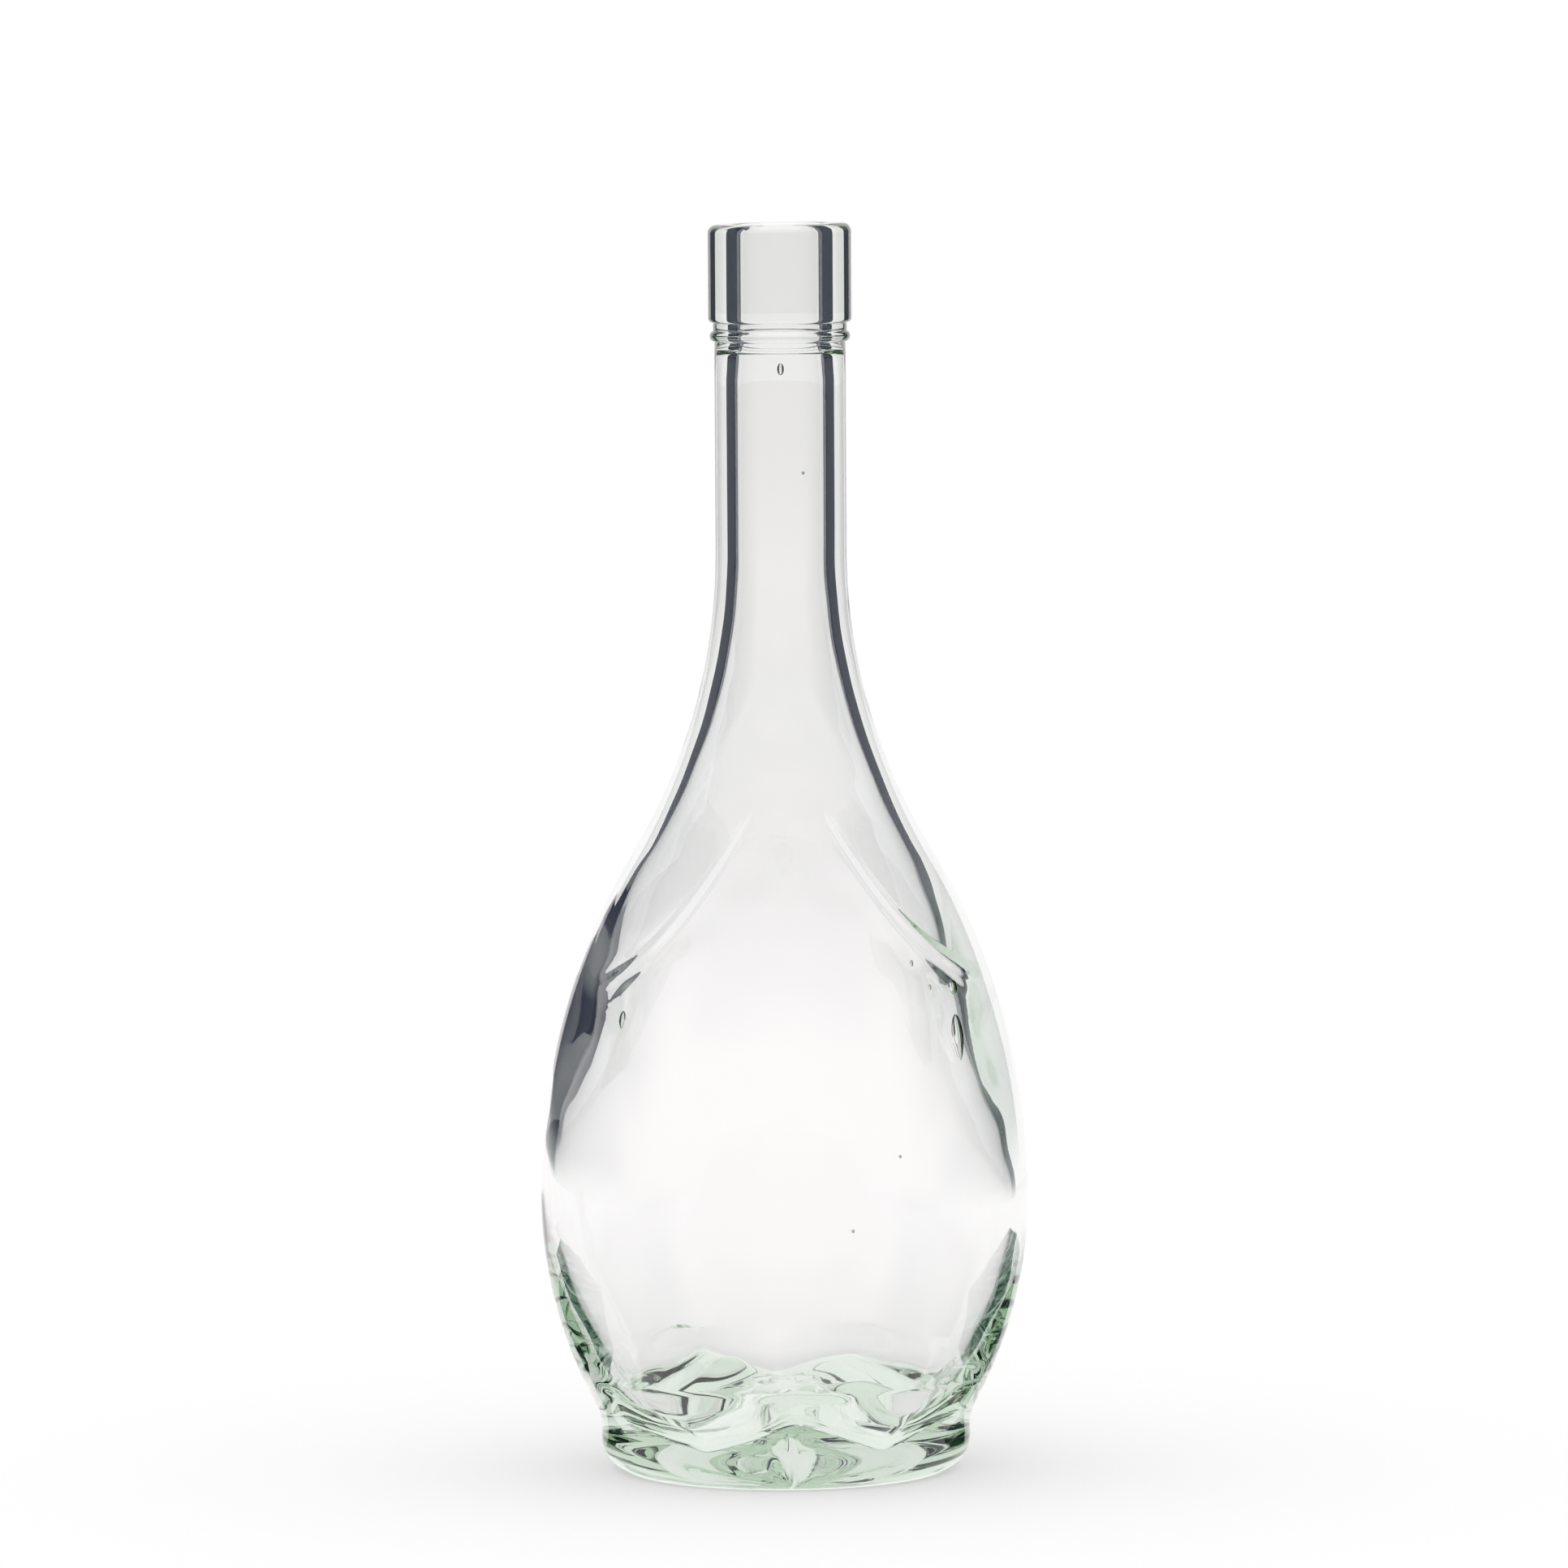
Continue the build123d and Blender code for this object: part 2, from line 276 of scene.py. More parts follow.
def line(start, end, spacing):
    """Points along a straight stretch, without the last one."""
    across, up = end[0] - start[0], end[1] - start[1]
    count = max(1, ceil(sqrt(across**2 + up**2) / spacing))
    steps = range(count)
    return [(start[0] + across * step / count, start[1] + up * step / count) for step in steps]


class Pear:
    """A pear-shaped wall, the outside or the inside: a hollow arc at the
    shoulder, a round one down to the belly and a lower one towards the foot."""

    def __init__(self, neck, neck_foot, belly, widest, hollow_share, lower):
        spread = belly - neck
        drop = neck_foot - widest
        both = (spread**2 + drop**2) / (2 * spread)
        self.neck = neck
        self.neck_foot = neck_foot
        self.widest = widest
        self.hollow = both * hollow_share
        self.round = both - self.hollow
        self.lower = lower
        self.turn = asin(drop / both)
        self.hollow_centre = (neck + self.hollow, neck_foot)
        self.round_centre = (belly - self.round, widest)
        self.lower_centre = (belly - lower, widest)
        self.meeting = widest + self.round * sin(self.turn)

    def rising(self, down, spacing):
        """From a direction below the belly up to the neck's foot."""
        return (
            arc(self.lower_centre, self.lower, -down, 0, spacing)
            + arc(self.round_centre, self.round, 0, self.turn, spacing)
            + arc(self.hollow_centre, self.hollow, pi + self.turn, pi, spacing)
        )

    def radius_at(self, z):
        """Radius at heights between the foot and the neck, for arrays."""
        z = np.minimum(z, self.neck_foot)
        rise = np.clip(self.neck_foot - z, 0, self.hollow)
        hollow = self.hollow_centre[0] - np.sqrt(self.hollow**2 - rise**2)
        rise = np.clip(z - self.widest, -self.round, self.round)
        rounded = self.round_centre[0] + np.sqrt(self.round**2 - rise**2)
        drop = np.clip(self.widest - z, 0, self.lower)
        lower = self.lower_centre[0] + np.sqrt(self.lower**2 - drop**2)
        return np.where(z > self.meeting, hollow, np.where(z > self.widest, rounded, lower))


def outer_wall(form):
    """The outside, whose lower arc runs smoothly into the waist."""
    waist = form.heel_radius + form.foot_band
    gap = form.body_radius - form.foot_radius - form.waist_radius
    drop = form.belly_height - waist
    lower = (gap**2 + drop**2 - form.waist_radius**2) / (2 * (form.waist_radius + gap))
    neck_foot = form.belly_height + form.shoulder_length
    return Pear(
        form.neck_radius,
        neck_foot,
        form.body_radius,
        form.belly_height,
        form.shoulder_hollow,
        lower,
    )


def inner_wall(form, hollow):
    """The inside, whose lower arc runs smoothly into the floor's corner."""
    belly = form.body_radius - hollow.belly_wall
    widest = form.belly_height + hollow.belly_rise
    corner = hollow.corner_radius
    gap = belly - (form.foot_radius - hollow.heel_wall - corner)
    drop = widest - hollow.heel_floor - corner
    lower = (gap**2 + drop**2 - corner**2) / (2 * (gap - corner))
    neck = form.neck_radius - hollow.neck_wall
    neck_foot = form.belly_height + form.shoulder_length
    return Pear(neck, neck_foot, belly, widest, hollow.shoulder_hollow, lower)


# How far apart the outline's points lie: at the base, along the walls and at
# the small roundings of the mouth.
FINE = 0.0007
PLAIN = 0.0015
SMALL = 0.0003


def punt_outline(form):
    """Underside: from the push-up's middle out to the standing ring."""
    ring = form.foot_radius - form.heel_radius - form.ring_width
    edge = form.ring_edge
    rise = form.punt_height
    dome = (ring**2 + rise**2 - 2 * edge * rise) / (2 * rise)
    dome_centre = (0, rise - dome)
    slant = asin(ring / (dome + edge))
    return arc(dome_centre, dome, pi / 2, pi / 2 - slant, FINE) + arc(
        (ring, edge), edge, pi + pi / 2 - slant, pi + pi / 2, SMALL
    )


def foot_outline(form, wall):
    """Standing ring, heel, upright foot and waist, up to the belly's arc."""
    ring = form.foot_radius - form.heel_radius
    waist = form.heel_radius + form.foot_band
    reach = wall.lower + form.waist_radius
    down = asin((form.belly_height - waist) / reach)
    waist_centre = (form.foot_radius + form.waist_radius, waist)
    points = line((ring - form.ring_width, 0), (ring, 0), FINE)
    points += arc((ring, form.heel_radius), form.heel_radius, -pi / 2, 0, FINE)
    points += line((form.foot_radius, form.heel_radius), (form.foot_radius, waist), FINE)
    points += arc(waist_centre, form.waist_radius, pi, pi - down, FINE)
    return points, down


def mouth_outline(form, hollow):
    """Neck, bead, groove and collar outside, then rim, lip, bore and neck inside."""
    collar_foot = form.belly_height + form.shoulder_length + form.neck_length
    groove = form.neck_radius + form.groove_step
    bead_middle = collar_foot - form.groove_height - form.bead_radius
    bead_centre = (form.neck_radius + form.bead_step - form.bead_radius, bead_middle)
    into_neck = acos((form.neck_radius - bead_centre[0]) / form.bead_radius)
    into_groove = acos((groove - bead_centre[0]) / form.bead_radius)
    collar_edge_x = form.collar_radius - form.collar_edge
    rim_x = form.collar_radius - form.rim_edge
    rim_z = form.height - form.rim_edge
    lip_x = hollow.bore_radius + form.rim_lip
    lip_z = form.height - form.rim_lip
    bore_foot = form.height - hollow.bore_depth
    run_out = bore_foot - hollow.run_out
    neck = form.neck_radius - hollow.neck_wall
    bead_top = (groove, bead_middle + form.bead_radius * sin(into_groove))
    neck_foot = form.belly_height + form.shoulder_length
    bead_foot = (form.neck_radius, bead_middle - form.bead_radius * sin(into_neck))
    points = line((form.neck_radius, neck_foot), bead_foot, PLAIN * 2)
    points += arc(bead_centre, form.bead_radius, -into_neck, into_groove, SMALL)
    points += line(bead_top, (groove, collar_foot), SMALL)
    points += line((groove, collar_foot), (collar_edge_x, collar_foot), SMALL)
    points += arc(
        (collar_edge_x, collar_foot + form.collar_edge), form.collar_edge, -pi / 2, 0, SMALL
    )
    points += line(
        (form.collar_radius, collar_foot + form.collar_edge), (form.collar_radius, rim_z), PLAIN
    )
    points += arc((rim_x, rim_z), form.rim_edge, 0, pi / 2, SMALL)
    points += line((rim_x, form.height), (lip_x, form.height), SMALL)
    points += arc((lip_x, lip_z), form.rim_lip, pi / 2, pi, SMALL)
    points += line((hollow.bore_radius, lip_z), (hollow.bore_radius, bore_foot), PLAIN)
    points += line((hollow.bore_radius, bore_foot), (neck, run_out), PLAIN)
    points += line((neck, run_out), (neck, neck_foot), PLAIN * 2)
    return points


def floor_outline(form, hollow, wall):
    """Inside below the belly, down to the corner and up the domed floor."""
    corner = hollow.corner_radius
    centre = (form.foot_radius - hollow.heel_wall - corner, hollow.heel_floor + corner)
    down = asin((wall.widest - centre[1]) / (wall.lower - corner))
    rise = hollow.floor_peak - hollow.heel_floor
    dome = (centre[0] ** 2 + rise**2 - 2 * corner * rise) / (2 * rise)
    slant = asin(centre[0] / (dome + corner))
    dome_centre = (0, hollow.floor_peak - dome)
    points = arc(centre, corner, -down, -pi / 2 - slant, FINE)
    points += arc(dome_centre, dome, pi / 2 - slant, pi / 2, FINE)
    return points, down


def whole_outline(form, hollow):
    """The bottle's cut edge, from the push-up's middle round to the floor's."""
    outside = outer_wall(form)
    inside = inner_wall(form, hollow)
    foot, foot_turn = foot_outline(form, outside)
    floor, floor_turn = floor_outline(form, hollow, inside)
    points = punt_outline(form) + foot + outside.rising(foot_turn, PLAIN)
    points += mouth_outline(form, hollow)
    inner = inside.rising(floor_turn, PLAIN)
    points.append((inside.neck, inside.neck_foot))
    points += inner[:0:-1]
    points += floor
    points.append((0, hollow.floor_peak))
    return points


def step_up(value, low, high):
    """Smooth step from 0 at low to 1 at high, for arrays."""
    t = np.clip((value - low) / (high - low), 0, 1)
    return t * t * (3 - 2 * t)


def read_points(mesh):
    """All vertices of a mesh as an array."""
    points = np.empty(len(mesh.vertices) * 3)
    mesh.vertices.foreach_get("co", points)
    return points.reshape(-1, 3)


def write_points(mesh, points):
    """Moves all vertices of a mesh."""
    mesh.vertices.foreach_set("co", points.ravel())
    mesh.update()


# Steps of the spin, and how near to each other its points are merged.
SEGMENTS = 190
WELD = 0.00002


class BOTTLE_OT_blow(bpy.types.Operator):
    """Spins the bottle's cut edge round its axis into one closed glass wall"""

    bl_idname = "bottle.blow"
    bl_label = "Blow the bottle"

    def execute(self, context):
        sizes = settings()
        outline = whole_outline(sizes.outline, sizes.hollow)
        bpy.ops.object.select_all(action="DESELECT")
        bpy.ops.mesh.primitive_circle_add(vertices=len(outline), radius=sizes.outline.height)
        bottle = context.object
        bottle.name = GLASS_NAME
        bottle.data.name = GLASS_NAME
        for vertex, (across, up) in zip(bottle.data.vertices, outline):
            vertex.co = (across, 0, up)
        last = len(outline) - 1
        bpy.ops.object.mode_set(mode="EDIT")
        bpy.ops.mesh.select_mode(type="EDGE")
        bpy.ops.object.mode_set(mode="OBJECT")
        for edge in bottle.data.edges:
            edge.select = set(edge.vertices) == {0, last}
        bpy.ops.object.mode_set(mode="EDIT")
        bpy.ops.mesh.delete(type="EDGE")
        bpy.ops.mesh.select_all(action="SELECT")
        bpy.ops.mesh.spin(steps=SEGMENTS, angle=2 * pi, center=(0, 0, 0), axis=(0, 0, 1))
        bpy.ops.mesh.select_all(action="SELECT")
        bpy.ops.mesh.remove_doubles(threshold=WELD)
        bpy.ops.mesh.normals_make_consistent(inside=False)
        bpy.ops.object.mode_set(mode="OBJECT")
        bpy.ops.object.shade_smooth()
        return {"FINISHED"}


# The wall's points lie from just above the base's relief to just above the
# neck's foot. NEAR_AXIS keeps points close to the axis from crossing it.
WALL_FOOT = 0.0195
WALL_TOP_MARGIN = 0.001
NEAR_AXIS = 0.001


def push_in(points, across, inset):
    """Moves each point towards the axis, by a length of its own."""
    shrink = 1 - inset / np.maximum(across, NEAR_AXIS)
    points[:, 0] *= shrink
    points[:, 1] *= shrink


def sides(points, sizes):
    """Distance from the axis, and which points are on the wall's out- and inside."""
    outside = outer_wall(sizes.outline)
    inside = inner_wall(sizes.outline, sizes.hollow)
    across = np.hypot(points[:, 0], points[:, 1])
    height = points[:, 2]
    middle = (outside.radius_at(height) + inside.radius_at(height)) / 2
    on_body = (height > WALL_FOOT) & (height < outside.neck_foot + WALL_TOP_MARGIN)
    return across, on_body & (across > middle), on_body & (across <= middle)


# How far the tent's edges run on past the sides, how much the side's slope
# widens down to the foot, and where between foot and corner it is full depth.
TENT_REACH_SHARE = 1.4
SIDE_BAND_GROWTH = 2
FULL_DEPTH_SHARE = 0.8


def panel_share(points, panel):
    """How far each point lies within the panel's outline, from 0 to 1."""
    x = np.abs(points[:, 0])
    z = points[:, 2]
    half = panel.half_width
    peak = panel.peak_height
    corner = panel.corner_height
    along = np.clip(x / half, 0, TENT_REACH_SHARE)
    tent = peak + (corner - peak) * along - panel.sag * 4 * np.clip(along * (1 - along), 0, 1)
    slope = sqrt(half**2 + (peak - corner) ** 2) / half
    band = panel.peak_band + (panel.side_band - panel.peak_band) * np.clip(along, 0, 1) ** 2
    over_top = (z - tent) / slope
    drop = np.clip(panel.widest_height - z, 0, None) / (panel.widest_height - panel.foot_height)
    reach = np.sqrt(np.clip(1 - drop**2, 0, 1))
    past_side = x - half * reach
    side_band = panel.side_band * (1 + SIDE_BAND_GROWTH * np.clip(drop, 0, 1))
    below_top = 1 - step_up(over_top, 0, band)
    between_sides = 1 - step_up(past_side, -side_band / 2, side_band)
    return below_top * between_sides * (drop < 1)


def panel_depth(points, panel):
    """Depth of the panel, from its full depth in the tent to the foot's."""
    rise = (points[:, 2] - panel.foot_height) / (panel.corner_height - panel.foot_height)
    full = step_up(rise, 0, FULL_DEPTH_SHARE)
    return panel.foot_depth + (panel.depth - panel.foot_depth) * full


class BOTTLE_OT_panels(bpy.types.Operator):
    """Presses the label panels into the front and back, outside and inside"""

    bl_idname = "bottle.panels"
    bl_label = "Press the label panels"

    def execute(self, context):
        sizes = settings()
        mesh = bpy.data.objects[GLASS_NAME].data
        points = read_points(mesh)
        across, outer, inner = sides(points, sizes)
        inset = panel_share(points, sizes.panel) * panel_depth(points, sizes.panel)
        push_in(points, across, np.where(outer | inner, inset, 0))
        write_points(mesh, points)
        return {"FINISHED"}


def star_gauge(x, y, star, tip, notch_share):
    """Distance from the middle as a share of a star's outline, 1 on it."""
    sector = pi / star.points
    turn = np.mod(np.arctan2(x, -y) - star.twist, 2 * sector)
    turn = np.minimum(turn, 2 * sector - turn)
    across = np.hypot(x, y)
    notch = tip * notch_share
    side = sqrt(tip**2 + notch**2 - 2 * tip * notch * cos(sector))
    lean = asin(notch * sin(sector) / side)
    return across * np.sin(turn + lean) / (tip * sin(lean))


def soft_top(first, second, softness):
    """The higher of two heights, rounded where they cross."""
    gap = first - second
    return (first + second + np.sqrt(gap**2 + softness**2)) / 2


# Uneven waves round the floor: how many, where they start and their height.
UNEVEN = (
    (1, 0.6, 0.0005),
    (2, 1.0, 0.0008),
    (3, 2.2, 0.0006),
    (7, 0.5, 0.0004),
    (11, 2.0, 0.0002),
)

# The star fades out over this width inside the standing ring. Inside, the floor
# reaches so far out, and its lobes fade out between two heights. Points that
# lie on a border by less than a margin are still taken in.
RING_FADE = 0.0015
FLOOR_REACH = 0.036
LOBES_FULL_HEIGHT = 0.014
LOBES_END_HEIGHT = 0.026
BORDER_MARGIN = 0.0001
FLOOR_MARGIN = 0.0005


class BOTTLE_OT_star(bpy.types.Operator):
    """Presses the star up into the base, and lifts the floor inside over it"""

    bl_idname = "bottle.star"
    bl_label = "Press the star"

    def execute(self, context):
        sizes = settings()
        star = sizes.star
        form = sizes.outline
        mesh = bpy.data.objects[GLASS_NAME].data
        points = read_points(mesh)
        x, y, z = points.T
        across = np.hypot(x, y)
        ring = form.foot_radius - form.heel_radius - form.ring_width
        gauge = star_gauge(x, y, star, star.tip_radius, star.notch)
        height = star.rise * np.clip((1 - gauge) / (1 - star.top), -1, 1)
        under = (across < ring - BORDER_MARGIN) & (z < form.punt_height + BORDER_MARGIN)
        z_under = soft_top(z, height, star.softness) - soft_top(0, -1, star.softness)
        fade = 1 - step_up(across, ring - RING_FADE, ring)
        wall_inside = inner_wall(form, sizes.hollow).radius_at(z) + FLOOR_MARGIN
        within = (across < wall_inside) & (across < FLOOR_REACH)
        floor = ~under & (z < LOBES_END_HEIGHT) & within
        azimuth = np.arctan2(x, -y) - star.twist
        wave = np.cos(azimuth * star.points)
        lobes = np.arcsin(wave * star.lobe_sharp) / asin(star.lobe_sharp)
        grown = step_up(across, star.lobe_start, star.lobe_full)
        uneven = sum(rise * np.sin(count * azimuth + start) for count, start, rise in UNEVEN)
        lumps = (star.lobe_rise * lobes + uneven) * grown + star.lean * y
        lumps *= 1 - step_up(z, LOBES_FULL_HEIGHT, LOBES_END_HEIGHT)
        points[:, 2] = np.where(under, z + (z_under - z) * fade, np.where(floor, z + lumps, z))
        write_points(mesh, points)
        return {"FINISHED"}


class ThickPlace:
    """A place where the blown wall came out thicker: its azimuth from the
    front, its height, how far it spreads either way and the extra glass."""

    def __init__(self, azimuth, spread, height, reach, extra):
        self.azimuth = radians(azimuth)
        self.spread = radians(spread)
        self.height = height
        self.reach = reach
        self.extra = extra

    def glass_at(self, azimuth, height):
        """Extra glass at each point, front and back alike."""
        turned = (azimuth - self.azimuth) / self.spread
        lifted = (height - self.height) / self.reach
        return self.extra * np.exp(-(turned**2) - lifted**2)


THICK_PLACES = (
    ThickPlace(azimuth=-75, spread=35, height=0.094, reach=0.018, extra=0.0020),
    ThickPlace(azimuth=80, spread=40, height=0.094, reach=0.028, extra=0.0032),
)


# Waves of the inside, in radians per metre along x, y and z.
RIPPLES = np.array(((190, 60, 410), (-130, 220, 300), (80, -260, 530), (250, 170, -360)))

# The rim is lower by this much at its middle, from this far below the top.
RIM_SLANT = 0.0002
RIM_BAND = 0.004


class BOTTLE_OT_walls(bpy.types.Operator):
    """Lets the wall's thickness wander, as in blown glass, and slants the rim"""

    bl_idname = "bottle.walls"
    bl_label = "Wander the walls"

    def execute(self, context):
        sizes = settings()
        mesh = bpy.data.objects[GLASS_NAME].data
        points = read_points(mesh)
        form = sizes.outline
        across, _, inner = sides(points, sizes)
        z = points[:, 2]
        azimuth = np.sign(points[:, 0]) * np.arctan2(np.abs(points[:, 0]), -points[:, 1])
        extra = sum(place.glass_at(azimuth, z) for place in THICK_PLACES)
        push_in(points, across, np.where(inner, extra, 0))
        top = step_up(z, form.height - RIM_BAND, form.height)
        points[:, 2] -= top * RIM_SLANT * (1 - points[:, 0] / form.collar_radius)
        ripple = sum(np.sin(points @ wave) for wave in RIPPLES) / len(RIPPLES)
        push_in(points, across, np.where(inner, -sizes.hollow.ripple * ripple, 0))
        write_points(mesh, points)
        return {"FINISHED"}


def maths(tree, operation, *values):
    """One step of arithmetic on numbers or sockets."""
    node = tree.nodes.new("ShaderNodeMath")
    node.operation = operation
    for socket, value in zip(node.inputs, values):
        if isinstance(value, bpy.types.NodeSocket):
            tree.links.new(value, socket)
        else:
            socket.default_value = value
    return node.outputs[0]


def map_range(tree, value, low, high):
    """A smooth step from 0 to 1 between two values of a socket."""
    step = tree.nodes.new("ShaderNodeMapRange")
    step.interpolation_type = "SMOOTHSTEP"
    step.inputs["From Min"].default_value = low
    step.inputs["From Max"].default_value = high
    tree.links.new(value, step.inputs["Value"])
    return step.outputs["Result"]


def mix_colours(tree, factor, first, second):
    """A mix of two colours, each a fixed colour or a socket."""
    mix = tree.nodes.new("ShaderNodeMix")
    mix.data_type = "RGBA"
    tree.links.new(factor, mix.inputs["Factor"])
    for name, colour_or_socket in (("A", first), ("B", second)):
        socket = next(s for s in mix.inputs if s.name == name and s.type == "RGBA")
        if isinstance(colour_or_socket, bpy.types.NodeSocket):
            tree.links.new(colour_or_socket, socket)
        else:
            socket.default_value = (*colour_or_socket, 1)
    return next(s for s in mix.outputs if s.type == "RGBA")


def object_place(tree):
    """The object's own coordinates, whole and as x, y and z."""
    place = tree.nodes.new("ShaderNodeTexCoord").outputs["Object"]
    split = tree.nodes.new("ShaderNodeSeparateXYZ")
    tree.links.new(place, split.inputs["Vector"])
    return place, split.outputs


def drawn_out_noise(tree, place, stretch, scale, detail):
    """Soft noise, drawn out along the axis whose stretch is under 1."""
    mapping = tree.nodes.new("ShaderNodeMapping")
    mapping.inputs["Scale"].default_value = stretch
    noise = tree.nodes.new("ShaderNodeTexNoise")
    noise.inputs["Scale"].default_value = scale
    noise.inputs["Detail"].default_value = detail
    tree.links.new(place, mapping.inputs["Vector"])
    tree.links.new(mapping.outputs["Vector"], noise.inputs["Vector"])
    return noise.outputs["Fac"]


# How much wider than stated the crest line's foot and its gap run out, and over
# which length its ends do.
CREST_SPREAD = 1.6
CREST_END = 0.002


def crest_height(tree, axes, crest):
    """Height of the crest line over the front panel, in metres."""
    x, y, z = axes
    aside = maths(tree, "ABSOLUTE", maths(tree, "SUBTRACT", x, crest.shift))
    along = maths(tree, "SUBTRACT", crest.reach, aside)
    bend = maths(tree, "MULTIPLY_ADD", along, crest.curve, crest.slope)
    above = maths(tree, "SUBTRACT", z, maths(tree, "MULTIPLY_ADD", along, bend, crest.start))
    near = map_range(tree, maths(tree, "ABSOLUTE", above), crest.width * CREST_SPREAD, 0)
    open_middle = map_range(tree, aside, crest.gap, crest.gap * CREST_SPREAD)
    before_end = map_range(tree, along, -CREST_END, CREST_END)
    within = maths(tree, "MULTIPLY", before_end, open_middle)
    front = maths(tree, "LESS_THAN", y, 0.0)
    share_of_rise = maths(tree, "MULTIPLY", maths(tree, "MULTIPLY", near, within), front)
    return maths(tree, "MULTIPLY", share_of_rise, crest.rise)


# Faint waves of the blown surface, longer upwards: their stretch and scale.
WAVE_STRETCH = (1.0, 1.0, 0.35)
WAVE_SCALE = 120.0


class Bubble:
    """A drop of air in the glass: where it shows from the front, half its
    width, height and thickness, how deep its middle lies and how much it
    narrows below. All in millimetres but the last, a share."""

    def __init__(self, x, z, width, height, thickness, depth, narrow=0.0):
        self.x = x / 1000
        self.z = z / 1000
        self.half = Vector((width, thickness, height)) / 1000
        self.depth = depth / 1000
        self.narrow = narrow


BUBBLES = (
    # The long drop and the loop above it, beside the panel's right corner.
    Bubble(36.4, 91.5, 1.5, 4.9, 1.5, 2.1, 0.6),
    Bubble(35.4, 101.4, 1.4, 1.6, 0.8, 1.8),
    # The small drop at its left corner.
    Bubble(-33.5, 95.7, 0.85, 1.9, 0.9, 1.4, 0.3),
    # Two marks under the tent's right edge.
    Bubble(26.6, 107.1, 0.35, 0.7, 0.3, 1.2),
    Bubble(30.4, 102.1, 0.3, 0.6, 0.3, 1.2),
    # The drop under the bead, and three seeds.
    Bubble(0.1, 227.0, 0.65, 1.25, 0.5, 2.0),
    Bubble(5.0, 205.8, 0.3, 0.35, 0.3, 1.8),
    Bubble(23.8, 69.2, 0.3, 0.35, 0.3, 1.3),
    Bubble(14.0, 54.7, 0.3, 0.35, 0.3, 1.3),
)


class BOTTLE_OT_bubbles(bpy.types.Operator):
    """Traps the small drops of air in the wall"""

    bl_idname = "bottle.bubbles"
    bl_label = "Trap the bubbles"

    def execute(self, context):
        sizes = settings()
        outside = outer_wall(sizes.outline)
        bottle = bpy.data.objects[GLASS_NAME]
        bpy.ops.object.select_all(action="DESELECT")
        drops = []
        for bubble in BUBBLES:
            bpy.ops.mesh.primitive_uv_sphere_add(segments=20, ring_count=12, radius=1)
            drop = context.object
            radius = float(outside.radius_at(np.array(bubble.z)))
            azimuth = asin(bubble.x / radius)
            turn = Matrix.Rotation(azimuth, 3, "Z")
            middle = Vector((0, bubble.depth - radius, 0))
            for vertex in drop.data.vertices:
                local = vertex.co * bubble.half
                local.x *= 1 - bubble.narrow * max(0.0, -vertex.co.z)
                vertex.co = turn @ (middle + local) + Vector((0, 0, bubble.z))
            drop.data.flip_normals()
            bpy.ops.object.shade_smooth()
            drops.append(drop)
        for drop in drops:
            drop.select_set(True)
        bottle.select_set(True)
        context.view_layer.objects.active = bottle
        bpy.ops.object.join()
        return {"FINISHED"}


class BOTTLE_OT_glass(bpy.types.Operator):
    """Gives the bottle its clear glass, faintly green where it is thick"""

    bl_idname = "bottle.glass"
    bl_label = "Clear glass"

    def execute(self, context):
        glass = settings().glass
        material = bpy.data.materials.new("clear_bottle_glass")
        material.use_nodes = True
        tree = material.node_tree
        shader = tree.nodes["Principled BSDF"]
        shader.inputs["Base Color"].default_value = (1, 1, 1, 1)
        shader.inputs["Roughness"].default_value = 0.0
        shader.inputs["IOR"].default_value = glass.index
        shader.inputs["Transmission Weight"].default_value = 1.0
        absorption = tree.nodes.new("ShaderNodeVolumeAbsorption")
        absorption.inputs["Color"].default_value = (*glass.tint, 1)
        absorption.inputs["Density"].default_value = glass.density
        output = tree.nodes["Material Output"]
        tree.links.new(absorption.outputs["Volume"], output.inputs["Volume"])
        bump = tree.nodes.new("ShaderNodeBump")
        bump.inputs["Strength"].default_value = 1.0
        bump.inputs["Distance"].default_value = 1.0
        place, axes = object_place(tree)
        waves = drawn_out_noise(tree, place, WAVE_STRETCH, WAVE_SCALE, 1.0)
        crest = crest_height(tree, axes, settings().crest)
        height = maths(tree, "MULTIPLY_ADD", waves, glass.wave, crest)
        tree.links.new(height, bump.inputs["Height"])
        tree.links.new(bump.outputs["Normal"], shader.inputs["Normal"])
        bottle = bpy.data.objects[GLASS_NAME]
        bottle.data.materials.append(material)
        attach(bottle, "root")
        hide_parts(NODE)
        return {"FINISHED"}


def add_floor(studio):
    """A wide white floor that keeps the bottle's shadow."""
    bpy.ops.object.select_all(action="DESELECT")
    bpy.ops.mesh.primitive_plane_add(size=studio.floor_size)
    floor = bpy.context.object
    floor.name = "floor"
    material = bpy.data.materials.new("white_floor")
    material.use_nodes = True
    tree = material.node_tree
    shader = tree.nodes["Principled BSDF"]
    white = [studio.floor_white / part for part in studio.sky]
    shader.inputs["Base Color"].default_value = (*white, 1)
    shader.inputs["Roughness"].default_value = 1.0
    shader.inputs["Specular IOR Level"].default_value = 0.0
    ray = tree.nodes.new("ShaderNodeLightPath").outputs
    axes = object_place(tree)[1]
    far = map_range(tree, axes["Y"], studio.fade_start, studio.fade_end)
    through = mix_colours(tree, far, tuple(studio.near_lift), tuple(studio.far_lift))
    shown = mix_colours(tree, ray["Is Camera Ray"], through, (1.0, 1.0, 1.0))
    tree.links.new(shown, shader.inputs["Emission Color"])
    in_glass = maths(tree, "MAXIMUM", ray["Is Glossy Ray"], ray["Is Transmission Ray"])
    seen = maths(tree, "MAXIMUM", ray["Is Camera Ray"], in_glass)
    lift = maths(tree, "MULTIPLY", seen, studio.floor_lift)
    tree.links.new(lift, shader.inputs["Emission Strength"])
    floor.data.materials.append(material)


